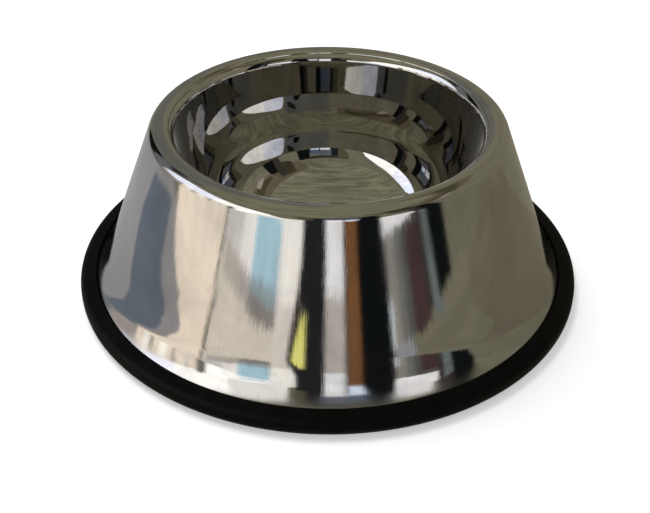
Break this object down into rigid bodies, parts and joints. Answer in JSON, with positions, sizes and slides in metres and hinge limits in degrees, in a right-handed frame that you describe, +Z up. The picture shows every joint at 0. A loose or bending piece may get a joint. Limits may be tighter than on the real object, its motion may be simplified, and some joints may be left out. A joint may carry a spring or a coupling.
{
  "type": "pet bowl",
  "caption": "Tall cone-sided non-tip pet bowl: a deep, round-bottomed pan in a hollow flared skirt, standing on a black non-slip ring.",
  "frame": {"origin": "on the ground, on the bowl's own axis, at the centre of the rubber ring's underside", "axes": "+Z up along the bowl's axis; the bowl is round, so +X and +Y are any two directions square to it"},
  "size_m": [0.248, 0.248, 0.086],
  "materials": {
    "polished_steel": "mirror polished stainless steel with fine polishing lines",
    "black_rubber": "satin moulded rubber"
  },
  "bodies": {
    "root": {"outer_skirt": "polished_steel", "inner_bowl": "polished_steel", "rubber_ring": "black_rubber"}
  },
  "joints": []
}
